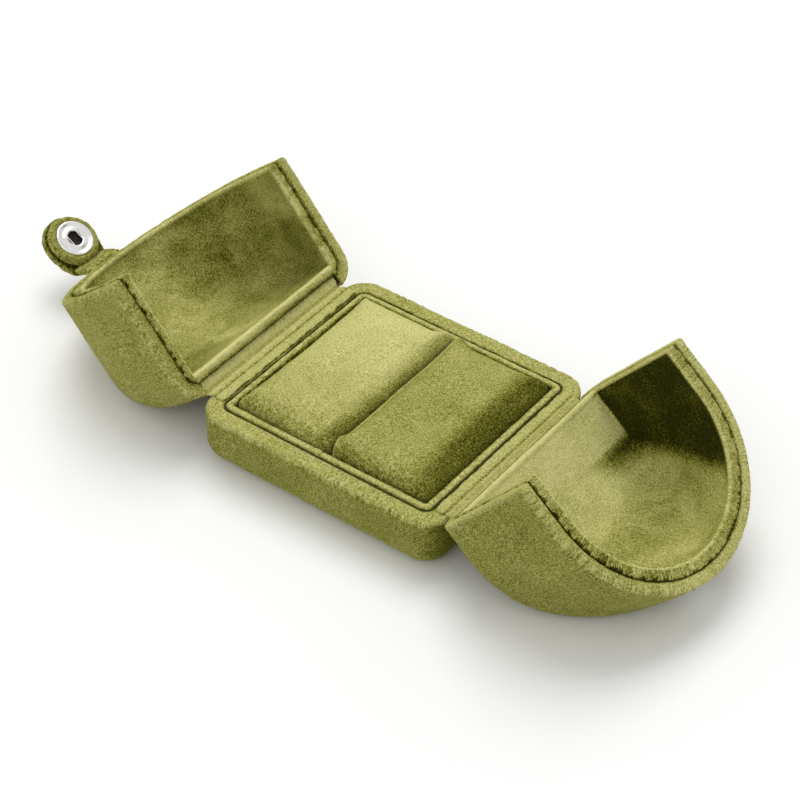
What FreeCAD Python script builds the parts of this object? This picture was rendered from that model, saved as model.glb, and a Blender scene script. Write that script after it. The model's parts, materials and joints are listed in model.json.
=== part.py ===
"""A velvet ring box with two mirrored covers that open to the left and right, and a snap strap.

The frame: X runs across both hinges, Y along them, Z up from the table. The origin is the middle
of the underside. Millimetres. The box stands open. A cover is drawn closed, in a frame of its own:
the origin on its hinge line, X from there to the plane where the covers meet, Z up. The strap is
drawn in a frame on the crown at the stud: X away from the strap's bend, Z out of the crown.
"""
import FreeCAD, Part
import math
import os

import Sketcher

V = FreeCAD.Vector
os.makedirs("parts", exist_ok=True)
doc = FreeCAD.newDocument("ring_box")

DIMENSIONS = {
    # the closed box
    "box_width": 70,            # across the hinges
    "box_depth": 64,            # along the hinges
    "box_height": 60,
    "base_height": 15,          # table to hinge line
    "open_angle": 130.8,        # a cover's turn from closed until its back lies on the table
    "corner_radius": 7,         # upright corners of the box
    "velvet": 0.8,
    "seam": 0.15,
    # base
    "base_edge": 5.5,           # round along the table
    "rim_drop": 0.4,            # the rim lies under the liner's lip
    "rim_width": 4.5,           # velvet, shell and velvet
    "rim_round": 1.2,
    "base_wall": 2.9,
    "base_floor": 1.6,
    "lip_width": 2.3,           # the inner frame with its velvet
    "lip_velvet": 0.7,
    "frame_wall": 1.5,
    "card": 0.8,
    "card_inset": 7,
    "wrap_lift": 0.3,           # the wrap stays off the table, because the card stands on it
    "board": 1.4,
    # pads
    "slot_width": 1.2,
    "pad_proud": 3.4,
    "pad_gap": 0.1,
    "pad_round": 2.3,
    "pad_corner": 2.5,
    # covers: an arch seen along X, and a quarter round seen along Y
    "cover_lift": 0.35,         # bottom edge above the hinge line
    "rim_setback": 0.25,        # rim behind the meeting plane
    "arch_leg": 13,             # straight legs of the arch
    "side_leg": 9.5,            # straight part of the end wall
    "side_radius": 36,
    "shell_wall": 2.5,
    "liner_wall": 1.55,
    "crease": 1.2,              # the liner velvet's inner edge, by the hinge
    # hinge tapes
    "tape_length": 52,
    "tape_width": 4.1,
    "tape": 0.5,
    "tape_margin": 0.35,        # the tape's glued parts end short of the hinge line
    "tape_step": 2.2,           # step in the cover's end wall for the tape
    "leaf_width": 2.9,
    # strap and snap, with heights above the crown at the stud
    "stud_reach": 8.7,          # meeting plane to stud
    "strap_flop": 32.6,         # how far the strap falls back from its closed place
    "bend_height": 1.2,         # the strap's bend line above the crown
    "root_length": 9,
    "root": 2,
    "strap_width": 11,
    "neck": 1.8,
    "tab_radius": 7.2,
    "tab_inner": 0.8,
    "tab_board": 0.8,
    "tab_outer": 1.2,
    "socket_radius": 5,
    "socket_low": 0.6,
    "socket_high": 2,
    "socket_floor": 0.4,
    "socket_hole": 2.4,
    "spring_wire": 0.15,
    "spring_offset": 1.6,
    "cap_radius": 4.8,
    "cap": 0.7,
    "rivet_radius": 0.95,
    "flange_radius": 4.6,
    "flange": 0.4,
    "neck_radius": 1.4,
    "neck_top": 0.95,
    "head_radius": 1.75,
    "head_top": 1.5,
    "washer_radius": 3,
    "washer": 0.5,
}
sheet = doc.addObject("Spreadsheet::Sheet", "dims")
for row, (alias, value) in enumerate(DIMENSIONS.items(), start=1):
    sheet.set(f"A{row}", alias)
    sheet.set(f"B{row}", str(value))
    sheet.setAlias(f"B{row}", alias)
doc.recompute()


def now(formula):
    """The present value of a formula in the sheet's names."""
    return float(sheet.evalExpression(formula))


def bind(item, **formulas):
    for name, formula in formulas.items():
        item.setExpression(name, formula)
    return item


# ------------------------------------------------------------------------------- sketches
class Outline:
    """A closed sketch of lines and arcs whose sizes follow the sheet."""

    def __init__(self, sketch):
        self.sketch = sketch

    def line(self, start, end):
        return self.sketch.addGeometry(Part.LineSegment(V(*start, 0), V(*end, 0)), False)

    def arc(self, centre, radius, first, last):
        circle = Part.Circle(V(*centre, 0), V(0, 0, 1), radius)
        return self.sketch.addGeometry(
            Part.ArcOfCircle(circle, math.radians(first), math.radians(last)), False
        )

    def tie(self, *rule):
        return self.sketch.addConstraint(Sketcher.Constraint(*rule))

    def measure(self, name, formula, *rule):
        """A dimension that follows the sheet."""
        index = self.tie(*rule, now(formula))
        self.sketch.renameConstraint(index, name)
        self.sketch.setExpression(f"Constraints.{name}", formula)


START, END, CENTRE = 1, 2, 3    # the points of a line or arc
AXES, ORIGIN = -1, 1            # the sketch's own axes and their origin
NEAR = 1e-3                     # how close counts as touching


def rounded_rectangle(sketch, left, right, half_depth, radius):
    """A rectangle with round corners, from left to right in X and centred in Y."""
    x0, x1, y1, r = now(left), now(right), now(half_depth), now(radius)
    draw = Outline(sketch)
    sides = [
        draw.line((x0 + r, -y1), (x1 - r, -y1)),
        draw.line((x1, -y1 + r), (x1, y1 - r)),
        draw.line((x1 - r, y1), (x0 + r, y1)),
        draw.line((x0, y1 - r), (x0, -y1 + r)),
    ]
    corners = [
        draw.arc((x1 - r, -y1 + r), r, 270, 360),
        draw.arc((x1 - r, y1 - r), r, 0, 90),
        draw.arc((x0 + r, y1 - r), r, 90, 180),
        draw.arc((x0 + r, -y1 + r), r, 180, 270),
    ]
    for k, corner in enumerate(corners):
        draw.tie("Tangent", sides[k], END, corner, START)
        draw.tie("Tangent", corner, END, sides[(k + 1) % 4], START)
    for corner in corners[1:]:
        draw.tie("Equal", corners[0], corner)
    for side in (0, 2):
        draw.tie("Horizontal", sides[side])
    for side in (1, 3):
        draw.tie("Vertical", sides[side])
    draw.measure("radius", radius, "Radius", corners[0])
    draw.measure("right", right, "DistanceX", AXES, ORIGIN, sides[1], START)
    draw.measure("back", half_depth, "DistanceY", AXES, ORIGIN, sides[2], START)
    draw.measure("front", half_depth, "DistanceY", sides[0], START, AXES, ORIGIN)
    draw.measure("left", left, "DistanceX", AXES, ORIGIN, sides[3], START)


def block(name, left, right, half_depth, low, high, corner, foot=None, top=None):
    """A body: a slab with round upright corners, rounded along its foot or its top edge."""
    body = doc.addObject("PartDesign::Body", name)
    plane = next(o for o in body.Origin.OriginFeatures if o.Role == "XY_Plane")
    sketch = body.newObject("Sketcher::SketchObject", f"{name}_outline")
    sketch.AttachmentSupport = [(plane, "")]
    sketch.MapMode = "FlatFace"
    sketch.setExpression("AttachmentOffset.Base.z", low)
    rounded_rectangle(sketch, left, right, half_depth, corner)
    pad = body.newObject("PartDesign::Pad", f"{name}_pad")
    pad.Profile = sketch
    bind(pad, Length=f"({high}) - ({low})")
    doc.recompute()
    last = pad
    for height, radius in ((low, foot), (high, top)):
        if radius is None:
            continue
        level = now(height)
        edges = [
            f"Edge{i}"
            for i, edge in enumerate(last.Shape.Edges, start=1)
            if edge.BoundBox.ZLength < NEAR and abs(edge.BoundBox.ZMin - level) < NEAR
        ]
        rounding = body.newObject("PartDesign::Fillet", f"{name}_round")
        rounding.Base = (last, edges)
        bind(rounding, Radius=radius)
        doc.recompute()
        last = rounding
    return body


def box(name, left, right, half_depth, low, high):
    """A plain box, centred in Y."""
    made = doc.addObject("Part::Box", name)
    bind(
        made,
        Length=f"({right}) - ({left})",
        Width=f"2 * ({half_depth})",
        Height=f"({high}) - ({low})",
    )
    made.setExpression("Placement.Base.x", left)
    made.setExpression("Placement.Base.y", f"-({half_depth})")
    made.setExpression("Placement.Base.z", low)
    return made


def disc(name, radius, low, high):
    """A short upright cylinder."""
    made = doc.addObject("Part::Cylinder", name)
    bind(made, Radius=radius, Height=f"({high}) - ({low})")
    made.setExpression("Placement.Base.z", low)
    return made


def cut(name, base, *tools):
    """base less each tool."""
    for k, tool in enumerate(tools, start=1):
        made = doc.addObject("Part::Cut", name if k == len(tools) else f"{name}_cut{k}")
        made.Base = base
        made.Tool = tool
        base = made
    return base


def join(name, *pieces):
    made = doc.addObject("Part::MultiFuse", name)
    made.Shapes = list(pieces)
    return made


def common(name, first, second):
    made = doc.addObject("Part::Common", name)
    made.Base = first
    made.Tool = second
    return made


# ------------------------------------------------------------------------------- places
SNAP_TILT = "asin((dims.side_radius + dims.stud_reach - dims.box_width / 2) / dims.side_radius)"
STUD_X = "dims.box_width / 2 - dims.stud_reach"
STUD_Z = (
    "dims.side_leg + sqrt(dims.side_radius ^ 2"
    f" - (dims.side_radius - ({STUD_X})) ^ 2)"
)
BEND_X = "dims.box_width / 2"
BEND_Z = "dims.box_height - dims.base_height + dims.bend_height"
UP_Y = "create(<<vector>>; 0; 1; 0)"


def place(x, y, z, axis, angle):
    return (
        f"create(<<placement>>; create(<<vector>>; {x}; {y}; {z});"
        f" create(<<rotation>>; {axis}; {angle}))"
    )


LEFT = place("-dims.box_width / 2", "0", "dims.base_height", UP_Y, "-dims.open_angle")
RIGHT = place(
    "dims.box_width / 2",
    "0",
    "dims.base_height",
    "create(<<vector>>; sin(dims.open_angle / 2); 0; cos(dims.open_angle / 2))",
    "180",
)
CROWN = place(STUD_X, "0", STUD_Z, UP_Y, f"-({SNAP_TILT})")
nodes = {}


def piece(name, made, placement=None):
    """Names a finished piece and puts it in its place in the open box."""
    if placement:
        made.setExpression("Placement", placement)
    made.Label = name
    nodes[name] = made
    return made


# ------------------------------------------------------------------------------- base
def ring_block(name, inset, low, high, corner, foot=None, top=None):
    """A slab as wide as the base less an inset on every side."""
    half_x = f"dims.box_width / 2 - ({inset})"
    half_y = f"dims.box_depth / 2 - ({inset})"
    return block(name, f"-({half_x})", half_x, half_y, low, high, corner, foot, top)


FRAME_INSET = "dims.rim_width + dims.seam"
PAD_INSET = f"{FRAME_INSET} + dims.lip_width"
RIM_TOP = "dims.base_height - dims.rim_drop"
SHELL_LOW = "dims.wrap_lift + dims.velvet"
WALL_INSET = "dims.velvet + dims.base_wall"
FLOOR_TOP = f"{SHELL_LOW} + dims.base_floor"
BOARD_TOP = f"{FLOOR_TOP} + dims.board"
OVER = "dims.base_height + 1"


def make_base():
    wrap_form = ring_block(
        "wrap_form", "0", "dims.wrap_lift", RIM_TOP, "dims.corner_radius",
        "dims.base_edge", "dims.rim_round",
    )
    shell_form = ring_block(
        "shell_form", "dims.velvet", SHELL_LOW, f"{RIM_TOP} - dims.velvet",
        "dims.corner_radius - dims.velvet", "dims.base_edge - dims.velvet",
    )
    shell_room = ring_block("shell_room", WALL_INSET, FLOOR_TOP, OVER, "dims.corner_radius / 2")
    wrap_room = ring_block("wrap_room", "dims.rim_width", FLOOR_TOP, OVER, "dims.corner_radius / 3")
    card = ring_block("card_form", "dims.card_inset", "0", "dims.card", "dims.corner_radius / 2")
    piece("base_shell", cut("shell", shell_form, shell_room))
    piece("base_velvet", cut("wrap", wrap_form, wrap_room, shell_form, card))
    piece("bottom_card", card)

    lip_form = ring_block(
        "lip_form", FRAME_INSET, FLOOR_TOP, "dims.base_height", "dims.corner_radius / 3",
        None, "dims.lip_velvet",
    )
    frame_form = ring_block(
        "frame_form", FRAME_INSET, FLOOR_TOP, "dims.base_height - dims.lip_velvet",
        "dims.corner_radius / 3",
    )
    frame_room = ring_block(
        "frame_room", f"{FRAME_INSET} + dims.frame_wall", "0", OVER, "dims.corner_radius / 5"
    )
    lip_room = ring_block("lip_room", PAD_INSET, "0", OVER, "dims.corner_radius / 7")
    frame = cut("frame", frame_form, frame_room)
    piece("liner_frame", frame)
    piece("liner_velvet", cut("lip", lip_form, lip_room, frame))
    piece(
        "cushion_board",
        ring_block("board", f"{PAD_INSET} + dims.pad_gap", FLOOR_TOP, BOARD_TOP, "dims.card"),
    )


def make_pads():
    near = "dims.slot_width / 2"
    far = f"dims.box_width / 2 - ({PAD_INSET} + dims.pad_gap)"
    half = f"dims.box_depth / 2 - ({PAD_INSET} + dims.pad_gap)"
    top = "dims.base_height + dims.pad_proud"
    skin = "dims.velvet"
    for side, first, last in (("left", f"-({far})", f"-({near})"), ("right", near, far)):
        cover = block(
            f"{side}_pad_form", first, last, half, BOARD_TOP, top, "dims.pad_corner",
            None, "dims.pad_round",
        )
        foam = block(
            f"{side}_foam", f"{first} + {skin}", f"{last} - {skin}", f"{half} - {skin}",
            BOARD_TOP, f"{top} - {skin}", f"dims.pad_corner - {skin}",
            None, f"dims.pad_round - {skin}",
        )
        piece(f"{side}_pad_foam", foam)
        piece(f"{side}_pad_velvet", cut(f"{side}_pad", cover, foam))


# ------------------------------------------------------------------------------- covers
def side_profile(name, inset, low):
    """The cover seen along Y: a straight end wall and a round up to the crown."""
    sketch = doc.addObject("Sketcher::SketchObject", f"{name}_side")
    sketch.Placement = FreeCAD.Placement(V(), FreeCAD.Rotation(V(1, 0, 0), 90))
    t, low_now = now(inset), now(low)
    leg, radius = now("dims.side_leg"), now("dims.side_radius")
    draw = Outline(sketch)
    wall = draw.line((t, low_now), (t, leg))
    crown = draw.arc((radius, leg), radius - t, 90, 180)
    back = draw.line((radius, leg + radius - t), (radius, low_now))
    foot = draw.line((radius, low_now), (t, low_now))
    draw.tie("Tangent", wall, END, crown, END)
    draw.tie("Coincident", crown, START, back, START)
    draw.tie("Coincident", back, END, foot, START)
    draw.tie("Coincident", foot, END, wall, START)
    draw.tie("Vertical", wall)
    draw.tie("Vertical", back)
    draw.tie("Horizontal", foot)
    draw.tie("Vertical", crown, CENTRE, crown, START)
    draw.measure("inset", inset, "DistanceX", AXES, ORIGIN, wall, START)
    draw.measure("low", low, "DistanceY", AXES, ORIGIN, wall, START)
    draw.measure("leg", "dims.side_leg", "DistanceY", AXES, ORIGIN, wall, END)
    draw.measure("radius", f"dims.side_radius - ({inset})", "Radius", crown)
    return extrude(f"{name}_side_solid", sketch, "dims.box_depth", True)


def arch_profile(name, inset, low, length):
    """The cover seen along X: an arch on straight legs."""
    sketch = doc.addObject("Sketcher::SketchObject", f"{name}_arch")
    sketch.Placement = FreeCAD.Placement(V(), FreeCAD.Rotation(V(1, 1, 1), 120))
    half = f"dims.box_depth / 2 - ({inset})"
    w, low_now, leg = now(half), now(low), now("dims.arch_leg")
    draw = Outline(sketch)
    right = draw.line((w, low_now), (w, leg))
    arch = draw.arc((0, leg), w, 0, 180)
    left = draw.line((-w, leg), (-w, low_now))
    foot = draw.line((-w, low_now), (w, low_now))
    draw.tie("Tangent", right, END, arch, START)
    draw.tie("Tangent", arch, END, left, START)
    draw.tie("Coincident", left, END, foot, START)
    draw.tie("Coincident", foot, END, right, START)
    draw.tie("Vertical", right)
    draw.tie("Vertical", left)
    draw.tie("Horizontal", foot)
    draw.measure("half", half, "DistanceX", AXES, ORIGIN, right, START)
    draw.measure("low", low, "DistanceY", AXES, ORIGIN, right, START)
    draw.measure("leg", "dims.arch_leg", "DistanceY", AXES, ORIGIN, right, END)
    draw.measure("radius", half, "Radius", arch)
    return extrude(f"{name}_arch_solid", sketch, length, False)


def extrude(name, sketch, length, both_ways):
    made = doc.addObject("Part::Extrusion", name)
    made.Base = sketch
    made.DirMode = "Normal"
    made.Solid = True
    made.Symmetric = both_ways
    bind(made, LengthFwd=length)
    return made


def is_groin(edge, inset):
    """True for an edge where the arch and the side round, or their straight parts, meet."""
    at = edge.valueAt((edge.FirstParameter + edge.LastParameter) / 2)
    leg, radius = now("dims.side_leg"), now("dims.side_radius")
    rise, half = now("dims.arch_leg"), now("dims.box_depth") / 2 - inset
    from_side = at.x - inset
    if at.z > leg:
        from_side = math.hypot(at.x - radius, at.z - leg) - (radius - inset)
    from_arch = abs(at.y) - half
    if at.z > rise:
        from_arch = math.hypot(at.y, at.z - rise) - half
    return abs(from_side) < NEAR and abs(from_arch) < NEAR


def cover_form(name, inset, rim, low, groin):
    """A solid quarter of the dome, inset from the outer skin, with its groins rounded."""
    side = side_profile(name, inset, low)
    arch = arch_profile(name, inset, low, rim)
    quarter = common(f"{name}_quarter", side, arch)
    doc.recompute()
    rounded = doc.addObject("Part::Fillet", name)
    rounded.Base = quarter
    radius = now(groin)
    rounded.Edges = [
        (i, radius, radius)
        for i, edge in enumerate(quarter.Shape.Edges, start=1)
        if is_groin(edge, now(inset))
    ]
    doc.recompute()
    return rounded


RIM = "dims.box_width / 2 - dims.rim_setback"
THROUGH = "dims.box_width / 2 + 1"
LINER_INSET = "dims.velvet + dims.shell_wall + dims.seam"
LINER_ROOM = f"{LINER_INSET} + dims.liner_wall"
CAVITY = f"{LINER_ROOM} + dims.velvet"
TAPE_HALF = "dims.tape_length / 2"
STEP_WIDTH = "dims.velvet + dims.shell_wall"


def snap_disc(name, radius, low, high):
    """A cylinder on the stud's axis, in a closed cover's frame."""
    made = doc.addObject("Part::Cylinder", name)
    bind(made, Radius=radius, Height=f"({high}) - ({low})")
    made.setExpression("Placement", f"{CROWN} * {place('0', '0', low, UP_Y, '0')}")
    return made


def make_covers():
    """Both covers share their forms; a node is a form less its room, and less its own fittings."""
    low, skin = "dims.cover_lift", "dims.velvet"
    wrap_form = cover_form("wrap_quarter", "0", RIM, low, "dims.corner_radius")
    shell_form = cover_form(
        "shell_quarter", skin, f"{RIM} - {skin}", f"{low} + {skin}", f"dims.corner_radius - {skin}"
    )
    shell_room = cover_form(
        "shell_hollow", STEP_WIDTH, THROUGH, "-1", f"dims.corner_radius - ({STEP_WIDTH})"
    )
    liner_wrap = cover_form(
        "liner_wrap_quarter", LINER_INSET, RIM, low, f"dims.corner_radius - ({LINER_INSET})"
    )
    liner_form = cover_form(
        "liner_quarter", LINER_INSET, f"{RIM} - {skin}", f"{low} + {skin}",
        f"dims.corner_radius - ({LINER_INSET})",
    )
    liner_room = cover_form(
        "liner_hollow", LINER_ROOM, THROUGH, "-1", f"dims.crease + {skin}"
    )
    cavity = cover_form("cavity", CAVITY, THROUGH, "-1", "dims.crease")
    tape_step = box("tape_step", "-1", f"{STEP_WIDTH} + dims.seam / 2", TAPE_HALF, "-1", "dims.tape_step")
    rivet_hole = snap_disc("rivet_hole", "dims.rivet_radius", f"-({CAVITY})", "1")
    washer_room = snap_disc("washer_room", "dims.washer_radius", f"-({LINER_INSET})", WASHER_TOP)
    liner = cut("liner", liner_form, liner_room)
    for side, placement in (("left", LEFT), ("right", RIGHT)):
        fittings = [tape_step] + ([rivet_hole, washer_room] if side == "right" else [])
        skin_cuts = [tape_step] + ([rivet_hole] if side == "right" else [])
        piece(
            f"{side}_cover_shell",
            cut(f"{side}_shell", shell_form, shell_room, *fittings), placement,
        )
        piece(
            f"{side}_cover_velvet",
            cut(f"{side}_wrap", wrap_form, shell_room, shell_form, *skin_cuts), placement,
        )
        piece(f"{side}_cover_liner", cut(f"{side}_liner", liner_form, liner_room), placement)
        piece(
            f"{side}_cover_lining",
            cut(f"{side}_lining", liner_wrap, cavity, liner), placement,
        )
    return wrap_form


WASHER_TOP = "-(dims.velvet + dims.shell_wall) + dims.washer"


def make_tapes():
    """Each hinge is a tape: one part lies on the base's rim, the other in the cover's step."""
    inner = "dims.tape_margin"
    for side, placement, turn in (("left", LEFT, "180"), ("right", RIGHT, "0")):
        on_base = box(
            f"{side}_tape_base",
            "dims.box_width / 2 - dims.tape_width", f"dims.box_width / 2 - {inner}",
            TAPE_HALF, RIM_TOP, f"{RIM_TOP} + dims.tape",
        )
        turned = place("0", "0", "0", "create(<<vector>>; 0; 0; 1)", turn)
        corner = place(
            "dims.box_width / 2 - dims.tape_width", f"-({TAPE_HALF})", RIM_TOP, UP_Y, "0"
        )
        piece(f"{side}_tape_on_base", on_base, f"{turned} * {corner}")
        on_cover = box(
            f"{side}_tape_cover", inner, f"{inner} + dims.leaf_width", TAPE_HALF,
            "dims.tape_step - dims.tape", "dims.tape_step",
        )
        corner = place(inner, f"-({TAPE_HALF})", "dims.tape_step - dims.tape", UP_Y, "0")
        piece(f"{side}_tape_on_cover", on_cover, f"{placement} * {corner}")


# ------------------------------------------------------------------------------- strap
STRAP = " * ".join(
    (
        LEFT,
        place(BEND_X, "0", BEND_Z, UP_Y, "-dims.strap_flop"),
        place("dims.stud_reach", "0", f"{STUD_Z} - ({BEND_Z})", UP_Y, SNAP_TILT),
    )
)
INNER_TOP = "dims.socket_high + dims.tab_inner"
BOARD_LEVEL = f"{INNER_TOP} + dims.tab_board"
TAB_TOP = f"{BOARD_LEVEL} + dims.tab_outer"


def bend_in_strap():
    """The bend line's place in the strap's frame, and the way the strap leaves it."""
    tilt = math.radians(now(SNAP_TILT))
    back, rise = -now("dims.stud_reach"), now(f"{BEND_Z} - ({STUD_Z})")
    bend = V(
        back * math.cos(tilt) - rise * math.sin(tilt), 0,
        back * math.sin(tilt) + rise * math.cos(tilt),
    )
    return bend, V(math.cos(tilt), 0, math.sin(tilt))


def strap_neck():
    """The strap's neck climbs from its bend, past the socket, into the tab."""
    bend, along = bend_in_strap()
    up = V(-along.z, 0, along.x)
    half = now("dims.neck") / 2
    start = bend + along * (half / 2)
    socket = -now("dims.socket_radius")
    level = now(BOARD_LEVEL) + now("dims.tape_margin")
    outline = [
        start - up * half,
        start + up * half,
        V(-now("dims.tab_radius") + half, 0, level),
        V(socket + half, 0, level),
        V(socket + half, 0, now("dims.socket_high")),
        V(socket - now("dims.tape_margin"), 0, now("dims.socket_high")),
    ]
    width = now("dims.strap_width")
    outline = [p - V(0, width / 2, 0) for p in outline]
    made = doc.addObject("Part::Feature", "strap_neck")
    made.Shape = Part.Face(Part.makePolygon(outline + outline[:1])).extrude(V(0, width, 0))
    return made


def make_strap(crown):
    root_inset = "-dims.root"
    layer = common(
        "root_layer",
        side_profile("root_layer", root_inset, "0"),
        arch_profile("root_layer", root_inset, "0", f"{BEND_X} - dims.neck / 4"),
    )
    strip = box(
        "root_strip", f"{BEND_X} - dims.root_length", THROUGH, "dims.strap_width / 2",
        f"({BEND_Z}) / 2", "dims.box_height",
    )
    piece("strap_root", cut("root", common("root_patch", layer, strip), crown), LEFT)

    floor = "dims.socket_high - dims.socket_floor"
    hole = disc("socket_well", "dims.socket_hole", "dims.socket_low", floor)
    rivet_well = disc("rivet_well", "dims.rivet_radius", "0", TAB_TOP)
    ring = disc("socket_ring", "dims.socket_radius", "dims.socket_low", "dims.socket_high")
    piece("snap_socket", cut("socket", ring, hole, rivet_well), STRAP)
    wires = [spring_wire(f"spring_wire_{sign}", sign) for sign in (-1, 1)]
    piece("socket_spring", join("spring", *wires), STRAP)

    inner = disc("tab_inner_disc", "dims.tab_radius", "dims.socket_high", INNER_TOP)
    middle = disc("tab_board_disc", "dims.tab_radius - dims.velvet", INNER_TOP, BOARD_LEVEL)
    outer = disc("tab_outer_disc", "dims.tab_radius", BOARD_LEVEL, TAB_TOP)
    mouth = box(
        "tab_mouth", "-2 * dims.tab_radius", "dims.neck / 2 - dims.socket_radius",
        "dims.strap_width / 2", "0", BOARD_LEVEL,
    )
    piece("strap_inner_velvet", cut("tab_inner_layer", inner, rivet_well, mouth), STRAP)
    piece("strap_stiffener", cut("tab_stiffener", middle, rivet_well, mouth), STRAP)
    tongue = join("tab_tongue", outer, strap_neck())
    piece("strap_outer_velvet", cut("tab_outer_layer", tongue, rivet_well), STRAP)
    head = disc("cap_head", "dims.cap_radius", TAB_TOP, f"{TAB_TOP} + dims.cap")
    shank = disc("cap_shank", "dims.rivet_radius", floor, TAB_TOP)
    piece("snap_cap", join("cap_and_shank", head, shank), STRAP)


def spring_wire(name, sign):
    """One side of the socket's spring, a wire across the well that catches under the stud's head."""
    wire = doc.addObject("Part::Cylinder", name)
    reach = "sqrt(dims.socket_hole ^ 2 - (dims.spring_offset + dims.spring_wire) ^ 2)"
    bind(wire, Radius="dims.spring_wire", Height=f"2 * {reach}")
    level = "dims.socket_low + dims.spring_wire"
    wire.setExpression(
        "Placement", place(f"-{reach}", f"{sign} * dims.spring_offset", level, UP_Y, "90")
    )
    return wire


def make_stud():
    levels = (
        ("flange", "dims.flange_radius", "0", "dims.flange"),
        ("neck", "dims.neck_radius", "0", "dims.neck_top"),
        ("head", "dims.head_radius", "dims.neck_top", "dims.head_top"),
        ("shank", "dims.rivet_radius", WASHER_TOP, "0"),
    )
    parts = [snap_disc(f"stud_{name}", *rest) for name, *rest in levels]
    piece("snap_stud", join("stud", *parts), RIGHT)
    low = f"-({STEP_WIDTH})"
    washer = snap_disc("washer_disc", "dims.washer_radius", low, WASHER_TOP)
    piece("stud_washer", washer, f"{RIGHT} * {CROWN} * {place('0', '0', low, UP_Y, '0')}")


# ------------------------------------------------------------------------------- the box
make_base()
make_pads()
crown = make_covers()
make_tapes()
make_strap(crown)
make_stud()
doc.recompute()

for item in doc.Objects:
    if "Invalid" in item.State or "Error" in item.State:
        raise RuntimeError(f"{item.Name} failed: {item.State}")
for name, item in nodes.items():
    shape = item.Shape
    if shape.isNull() or not shape.isValid() or not shape.Solids:
        raise RuntimeError(f"{name} has no valid solid")
for name, item in nodes.items():
    item.Shape.exportStep(f"parts/{name}.step")
print(f"{len(nodes)} nodes")
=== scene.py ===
"""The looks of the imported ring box: velvet on every moulding, two pads, cloth hinges, a snap strap.

Lengths are millimetres until build() makes a mesh in metres. A cover is shaped closed, in a frame
of its own: u from its hinge line to the plane where the covers meet, y along the hinge, v up.
The strap is shaped in the frame of its snap: s away from the bend, y across, n out of the crown.
Cloth is shaped as a field, negative inside and about the distance to the surface outside.
"""
import itertools
import json
import math

import bpy
import numpy as np
import openvdb
from mathutils import Matrix, Vector


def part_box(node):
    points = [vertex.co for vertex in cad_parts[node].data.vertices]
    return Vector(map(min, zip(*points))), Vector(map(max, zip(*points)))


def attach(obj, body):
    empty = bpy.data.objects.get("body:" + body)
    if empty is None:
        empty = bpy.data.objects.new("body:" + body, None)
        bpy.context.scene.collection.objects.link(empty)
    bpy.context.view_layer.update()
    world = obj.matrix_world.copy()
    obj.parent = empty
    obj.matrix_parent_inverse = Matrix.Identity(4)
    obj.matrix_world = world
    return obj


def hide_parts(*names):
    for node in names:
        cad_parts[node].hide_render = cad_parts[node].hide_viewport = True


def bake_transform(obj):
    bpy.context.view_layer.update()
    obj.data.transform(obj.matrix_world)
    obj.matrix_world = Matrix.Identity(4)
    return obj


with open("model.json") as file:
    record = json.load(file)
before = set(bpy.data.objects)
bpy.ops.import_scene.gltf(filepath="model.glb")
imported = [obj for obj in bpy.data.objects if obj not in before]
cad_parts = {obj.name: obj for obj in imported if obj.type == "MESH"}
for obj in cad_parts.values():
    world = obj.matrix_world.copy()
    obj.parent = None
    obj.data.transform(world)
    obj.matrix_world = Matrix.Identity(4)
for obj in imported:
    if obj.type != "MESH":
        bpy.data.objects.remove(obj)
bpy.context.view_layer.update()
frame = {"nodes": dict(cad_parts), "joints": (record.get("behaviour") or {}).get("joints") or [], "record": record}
JOINTS = {joint["name"]: joint for joint in frame["joints"]}
MM = 0.001
BELOW, ABOVE = (np.array(corner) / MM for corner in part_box("base_velvet"))

# the box, as the frame gives it
HALF_WIDTH, HALF_DEPTH, RIM_TOP = ABOVE
WRAP_LIFT = BELOW[2]
HINGE_HEIGHT = JOINTS["right_cover_hinge"]["pos_m"][2] / MM
OPEN_ANGLE = JOINTS["right_cover_hinge"]["range_deg"][1]
STRAP_FLOP = JOINTS["strap_bend"]["range_deg"][1]
CARD_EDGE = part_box("bottom_card")[1] / MM
FLOOR_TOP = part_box("cushion_board")[0].z / MM
PAD_LOW, PAD_HIGH = (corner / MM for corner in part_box("right_pad_velvet"))

# what the solids are made with
PILE = 0.8                # thickness of the velvet
CORNER = 7.0              # the box's upright corners
BASE_EDGE = 5.5           # the base's round along the table
BASE_RIM = 4.5            # width of the base's rim
LIP_GAP = 0.15            # between that rim and the lip round the pads
LIP_WIDTH = 2.3
LIP_VELVET = 0.7
FRAME_WALL = 1.5          # the ring inside the lip
SIDE_LEG, SIDE_RADIUS = 9.5, 36.0  # a cover's end wall: straight, then a quarter round
ARCH_LEG = 13.0           # a cover's front and back walls are straight up to here, then an arch
RIM = HALF_WIDTH - 0.25   # the covers' rims, behind the meeting plane
FOOT = 0.35               # the covers' lower edge, above the hinge line
SHELL_BAND = 3.3          # shell and velvet
LINER_OUT, LINER_IN = 3.45, 5.0    # the inner moulding's faces, from the cover's outside
LINING_IN = 5.8                    # the face of its velvet
STEP_DEPTH, STEP_HEIGHT, STEP_HALF = 3.375, 2.2, 26.0  # the step that takes a hinge tape
STUD_REACH = 8.7          # from the meeting plane to the snap's stud
BEND_RISE = 1.2           # the strap's bend line above the crown
STRAP_HALF = 5.5          # half the strap's width
TAB_RADIUS = 7.2          # the strap's round end
SOCKET_RADIUS = 5.0

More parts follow.
